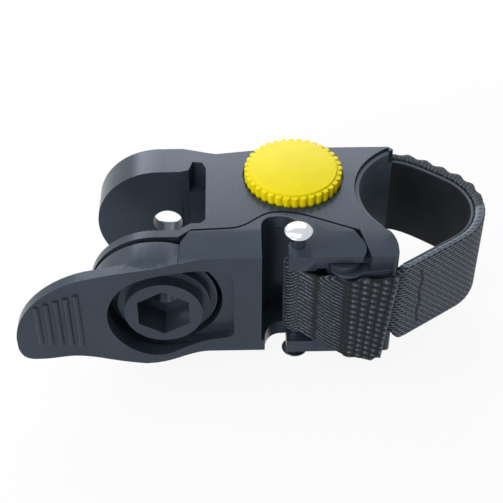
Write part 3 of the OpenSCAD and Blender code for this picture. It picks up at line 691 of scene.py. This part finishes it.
def loop_edges(point):
    """Lower and upper edge: full height on the far side, gathered near the knuckles."""
    share = clamp((GATHER_X - point[0]) / GATHER_RUN) if point[1] <= 0 else 0.0
    half = HALF_W - GATHER * share * share * (3 - 2 * share)
    return -half, half


def far_wave(along, point):
    """How far the upper edge leans out, where the strap leaves the body."""
    far = clamp((point[1] - 2) / 6) * clamp((point[0] - 47) / 3)
    return WAVE * far * sin(2 * pi * (along - 1.2) / WAVE_PITCH)


mesh = strap_mesh("strap_loop", inner_path, outer_path, loop_edges, relief=0.2, stations=340,
                  across_points=140, weave=loop_weave, wave=far_wave)
add_piece("strap_loop", mesh, "body", "webbing", "webbing_loop")

# %% [markdown]
# The liner is a thin smooth band inside the loop, which grips the post. It
# follows the loop's inner face and is made the same way, without relief, so
# the two can't part or cross.

# %% Liner
LINER_X, LINER_HALF = 46.9, 9.7
LINER_TAIL, LINER_GAP = 0.7, 0.02


def liner_edges(point):
    """Lower and upper edge, the same all along."""
    return -LINER_HALF, LINER_HALF


start = next(i for i, p in enumerate(inner_path) if p[0] > LINER_X)
stop = inner_path.index(near_end)
liner_tail = (near_end[0] + LINER_TAIL * near[0], near_end[1] + LINER_TAIL * near[1])
liner_outer = offset_path(inner_path[start:stop + 1] + [liner_tail], LINER_GAP)
liner_inner = offset_path(liner_outer, -LINER_T)
mesh = strap_mesh("loop_liner", liner_inner, liner_outer, liner_edges, relief=0.0, stations=140,
                  across_points=48, finish=rubber, edge_r=0.3)
add_piece("loop_liner", mesh, "body", "seat_rubber", "strap_liner")

# %% [markdown]
# The strap's end comes round the pin and folds back as a flap, which hangs a
# little low and is cut at a slant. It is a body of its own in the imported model
# and keeps its direction while the lever opens, so it is a mesh of its own too.
# Its two edges are read off short lists of points.

# %% Flap
FLAP_Y, FLAP_X = -17.7, 45.2
UPPER = [(26, 8.8), (29, 8.8), (30, 9.5), (33.2, 9.5), (34.4, 8.7), (35.6, 8.4), (36.8, 8.7),
         (38, 9.2), (39.2, 8.8), (41.6, 8.8), (43.6, 9.4), (45.2, 9.3)]
LOWER = [(26, -8.6), (30.7, -8.7), (34.3, -11.2), (36, -13.0), (38.7, -13.1), (42.5, -14.0),
         (43.7, -13.2), (45.2, -13.0)]
SLANT, SLANT_X, SLANT_Z = 1.9, 37, 9


def between(table, x):
    """A value read off a list of (x, value) points."""
    for (x0, v0), (x1, v1) in zip(table, table[1:]):
        if x <= x1:
            return v0 + (v1 - v0) * max(0.0, (x - x0) / (x1 - x0))
    return table[-1][1]


def flap_edges(point):
    """The end is narrow behind the pin, and the flap widens downwards in front of it."""
    if point[1] > PIN[1]:
        narrow = clamp((point[0] - PIN[0]) / 2)
        return -8.6 + 1.4 * narrow, 8.8 - 1.6 * narrow
    return between(LOWER, point[0]), between(UPPER, point[0])


def end_slant(x, z):
    """How far the cut end lies back, more so below."""
    return -SLANT * clamp((x - SLANT_X) / 8) * clamp((SLANT_Z - z) / 21)


wrap_r = PIN_R + PIN_GAP
wrap_low = PIN[1] - wrap_r
flap_inner = ([(tail_x - 1.2, PIN[1] + wrap_r), (PIN[0] + 2, PIN[1] + wrap_r)]
              + on_arc(PIN, wrap_r, 90, 270, 24)
              + on_curve((PIN[0], wrap_low), (PIN[0] + 2, wrap_low), (PIN[0] + 3.2, FLAP_Y),
                         (PIN[0] + 6.4, FLAP_Y), 16)
              + [(38, FLAP_Y - 0.15), (FLAP_X, FLAP_Y - 0.4)])
flap_outer = offset_path(flap_inner, -WEBBING_T)
print("flap's plan ends at", [round(v, 2) for v in flap_outer[-1]])
mesh = strap_mesh("strap_flap", flap_inner, flap_outer, flap_edges, relief=0.34, stations=200,
                  across_points=170, weave=flap_weave, relief_inside=0.2, slant=end_slant)
add_piece("strap_flap", mesh, "strap_tail", "webbing", "webbing_end")

# %% [markdown]
# The pad in the seat is a curved strip. It reaches to the strap's liner, so
# that no gap shows between the two rubbers. Its plan is one face that is
# extruded, and then the two rims are rounded.

# %% Pad
SEAT, SEAT_R, PAD_T = (54.0, 2.3), 15.67, 0.97
PAD_ARC, PAD_HALF = (116.2, 223), 12.8


def prism(bm, outline, low, high):
    """Adds a prism between two heights over an outline in plan, and gives its rim edges."""
    base = bm.faces.new([bm.verts.new(mm(x, y, low)) for x, y in outline])
    raised = bmesh.ops.extrude_face_region(bm, geom=[base], use_keep_orig=True)["geom"]
    top = next(part for part in raised if isinstance(part, bmesh.types.BMFace))
    bmesh.ops.translate(bm, verts=top.verts, vec=mm(0, 0, high - low))
    return list(base.edges) + list(top.edges)


def rounded_mesh(name, bm, edges, width, material, segments=3):
    """Rounds some edges and makes the mesh."""
    bmesh.ops.recalc_face_normals(bm, faces=bm.faces)
    round_edges(bm, edges, width, segments)
    return finish_mesh(name, bm, material, 40)


bm = bmesh.new()
rims = prism(bm, on_arc(SEAT, SEAT_R, PAD_ARC[0], PAD_ARC[1], 48)
             + on_arc(SEAT, SEAT_R - PAD_T, PAD_ARC[1], PAD_ARC[0], 48), -PAD_HALF, PAD_HALF)
mesh = rounded_mesh("seat_lining", bm, rims, 0.2, pad_rubber)
add_piece("seat_lining", mesh, "body", "seat_rubber", "seat_pad")
print("pad faces:", len(mesh.polygons))

# %% [markdown]
# Round the knob's rim, 36 small round teeth stand out below its flat top. One
# formula gives the rim's distance from the middle at an angle, which is simpler
# than cutting 36 notches. A disc a little narrower than the teeth lies on top.

# %% Knob's rim
KNOB, KNOB_TOP, DISC_R = (26.16, 7.4), 15.57, 8.85
TEETH, ROOT_R, TOOTH_AT, TOOTH_R = 36, 9.0, 9.3, 0.65
RIM_LOW, RIM_HIGH, DISC_LOW = 12.9, 15.32, 14.6


def tooth_radius(turn):
    """Distance from the knob's middle to its rim at an angle in degrees."""
    pitch = 360 / TEETH
    off = radians((turn + pitch / 2) % pitch - pitch / 2)
    reach = TOOTH_AT * sin(off)
    if abs(reach) >= TOOTH_R:
        return ROOT_R
    return max(ROOT_R, TOOTH_AT * cos(off) + sqrt(TOOTH_R ** 2 - reach * reach))


def upper_rim(bm, above):
    """The edges that lie above a height."""
    return [e for e in bm.edges if all(v.co.z > above * MM for v in e.verts)]


bm = bmesh.new()
prism(bm, [ring_point(KNOB, tooth_radius(i / 2), i / 2) for i in range(720)], RIM_LOW, RIM_HIGH)
rims = upper_rim(bm, RIM_HIGH - 0.1)
prism(bm, on_arc(KNOB, DISC_R, 0, 357.5, 143), DISC_LOW, KNOB_TOP)
rims += upper_rim(bm, KNOB_TOP - 0.1)
mesh = rounded_mesh("knob_rim", bm, rims, 0.34, yellow, 4)
add_piece("knob_rim", mesh, "knob", "knob_nylon")
print("rim faces:", len(mesh.polygons))

# %% [markdown]
# Below each arm the hinge's knuckle runs on into the front block as one rounded
# apron, which the strap's end passes. A nose lies on the upper apron. All three
# share their right side, and are prisms with rounded rims.

# %% Aprons of the knuckles
BLOCK_SIDE = [(43.9, -16.75), (44.3, -14.2), (38.2, -12.4), (33.4, -13)]
APRON_LOW, APRON_HIGH, NOSE_LOW, NOSE_HIGH = 7.35, 8.95, 9.05, 9.6

apron = on_arc(HINGE, 3.42, 170, 268, 14) + BLOCK_SIDE
nose = on_arc((35.7, -15.1), 3.6, 195, 318, 16) + BLOCK_SIDE
bm = bmesh.new()
rims = []
for outline, low, high in ((apron, APRON_LOW, APRON_HIGH), (apron, -APRON_HIGH, -APRON_LOW),
                           (nose, NOSE_LOW, NOSE_HIGH)):
    rims += prism(bm, outline, low, high)
mesh = rounded_mesh("knuckle_aprons", bm, rims, 0.26, nylon, 4)
add_piece("knuckle_aprons", mesh, "body", "nylon")
print("apron faces:", len(mesh.polygons))

# %% [markdown]
# The strap pin is a polished rivet with a domed head at each end, and a short
# neck shows under the upper head. It was turned on a lathe, so its half section
# is drawn from the bottom up and spun round the pin's axis.

# %% Strap pin
PROFILE = [(0, -16.75), (0.9, -16.68), (1.8, -16.45), (2.4, -16.12), (2.66, -15.8), (2.66, -15.66),
           (2.45, -15.54), (1.32, -15.5), (1.32, 15.1), (1.6, 15.85), (2.3, 16.2), (2.68, 16.38),
           (2.78, 16.58), (2.7, 16.8), (2.3, 17.04), (1.6, 17.26), (0.8, 17.38), (0, 17.41)]
bm = bmesh.new()
verts = [bm.verts.new(mm(PIN[0] + r, PIN[1], z)) for r, z in PROFILE]
edges = [bm.edges.new(pair) for pair in zip(verts, verts[1:])]
bmesh.ops.spin(bm, geom=verts + edges, cent=mm(*PIN, 0), axis=(0, 0, 1), angle=2 * pi, steps=56,
               use_merge=True)
bmesh.ops.remove_doubles(bm, verts=bm.verts, dist=0.001 * MM)
bmesh.ops.recalc_face_normals(bm, faces=bm.faces)
mesh = finish_mesh("strap_rivet", bm, chrome, 50)
add_piece("strap_rivet", mesh, "lever", "rivet_chrome", "strap_pin", "pin_cap")
print("rivet faces:", len(mesh.polygons))

# %% [markdown]
# The photograph is a product picture: the object lies on white. The floor and
# the backdrop look plain white to the camera and in reflections, while the
# object is lit by a much dimmer room. Light Path tells those rays apart. The
# floor keeps a tenth of its own shading there, so that a faint shadow remains.

# %% Floor and backdrop
FLOOR_HALF, FLOOR_GAP, FLOOR_GLOW, ROOM = 1.5, 0.2, 0.9, 0.3


def white_to_the_eye(tree, surface, white):
    """Shows white where the camera, a mirror or glass looks straight at a surface."""
    path = node(tree, "LightPath")
    seen = node(tree, "Math", {0: path.outputs["Is Camera Ray"], 1: path.outputs["Is Glossy Ray"]},
                operation="MAXIMUM")
    seen = node(tree, "Math", {0: seen.outputs["Value"], 1: path.outputs["Is Transmission Ray"]},
                operation="MAXIMUM")
    return node(tree, "MixShader", {0: seen.outputs["Value"], 1: surface, 2: white}).outputs["Shader"]


low_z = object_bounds()[0][2]
bm = bmesh.new()
bmesh.ops.create_grid(bm, x_segments=1, y_segments=1, size=FLOOR_HALF)
bmesh.ops.translate(bm, verts=bm.verts, vec=(0, 0, low_z - FLOOR_GAP * MM))
floor_mesh = bpy.data.meshes.new("floor")
bm.to_mesh(floor_mesh)
bm.free()
floor = bpy.data.objects.new("floor", floor_mesh)
bpy.context.scene.collection.objects.link(floor)
paper, tree, sheet = start_material("white_paper")
connect(tree, sheet, {"Base Color": linear("#c8c8c8"), "IOR": 1.5, "Roughness": 0.9})
glow = node(tree, "Emission", {"Color": (1, 1, 1, 1), "Strength": 1.0})
bright = node(tree, "BsdfDiffuse", {"Color": (0.97, 0.97, 0.97, 1)})
white = node(tree, "MixShader", {0: FLOOR_GLOW, 1: bright.outputs["BSDF"], 2: glow.outputs["Emission"]})
mixed = white_to_the_eye(tree, sheet.outputs["BSDF"], white.outputs["Shader"])
connect(tree, tree.nodes["Material Output"], {"Surface": mixed})
floor_mesh.materials.append(paper)

world = bpy.data.worlds.new("studio")
world.use_nodes = True
tree = world.node_tree
sky = connect(tree, tree.nodes["Background"], {"Color": (1, 1, 1, 1), "Strength": ROOM})
bright = node(tree, "Background", {"Color": (1, 1, 1, 1), "Strength": 1.0})
mixed = white_to_the_eye(tree, sky.outputs["Background"], bright.outputs["Background"])
connect(tree, tree.nodes["World Output"], {"Surface": mixed})
bpy.context.scene.world = world
print("floor at", round(low_z * 1000, 2), "mm")

# %% [markdown]
# Four soft lights. The strongest stands behind and gives the top faces their
# broad pale sheen. A weak one overhead fills them. One at the left and one at
# the front left light the ends and the front, which would be too dark without
# them. They are low in power, because the object is only 94 mm long.

# %% Lights
def soft_light(name, place, target, width, height, watts):
    """An area light that faces a target."""
    data = bpy.data.lights.new(name, "AREA")
    data.shape = "RECTANGLE"
    data.size, data.size_y = width, height
    data.energy = watts
    lamp = bpy.data.objects.new(name, data)
    lamp.location = mm(*place)
    lamp.rotation_euler = (mm(*target) - mm(*place)).to_track_quat("-Z", "Y").to_euler()
    bpy.context.scene.collection.objects.link(lamp)
    print(name, watts, "W")


soft_light("behind", (-45, 430, 222), (0, 0, 0), 0.40, 0.24, 1.6)
soft_light("overhead", (-60, 20, 420), (20, 0, 0), 0.30, 0.30, 0.25)
soft_light("left", (-330, 60, 260), (-10, 0, 0), 0.25, 0.25, 0.55)
soft_light("front_left", (-220, -320, 130), (0, 0, 0), 0.25, 0.25, 0.85)

# %% [markdown]
# The camera stands in front and above, where the photograph was taken from. Its
# place, its target and its lens come from fitting the nut's pocket, the knob's
# rim and a few other outlines to the photograph.

# %% Camera
CAMERA_AT, CAMERA_AIM = (13.862, -176.927, 163.296), (17.524, -0.741, 0)
LENS, SENSOR = 83.3, 36

camera_data = bpy.data.cameras.new("camera")
camera_data.sensor_width = SENSOR
camera_data.sensor_height = SENSOR
camera_data.sensor_fit = "HORIZONTAL"
camera_data.lens = LENS
camera_data.clip_start = 0.01
camera = bpy.data.objects.new("camera", camera_data)
camera.location = mm(*CAMERA_AT)
camera.rotation_euler = (mm(*CAMERA_AIM) - camera.location).to_track_quat("-Z", "Y").to_euler()
bpy.context.scene.collection.objects.link(camera)
bpy.context.scene.camera = camera
bpy.context.scene.view_settings.view_transform = "Standard"
print("camera at", [round(v, 4) for v in camera.location])
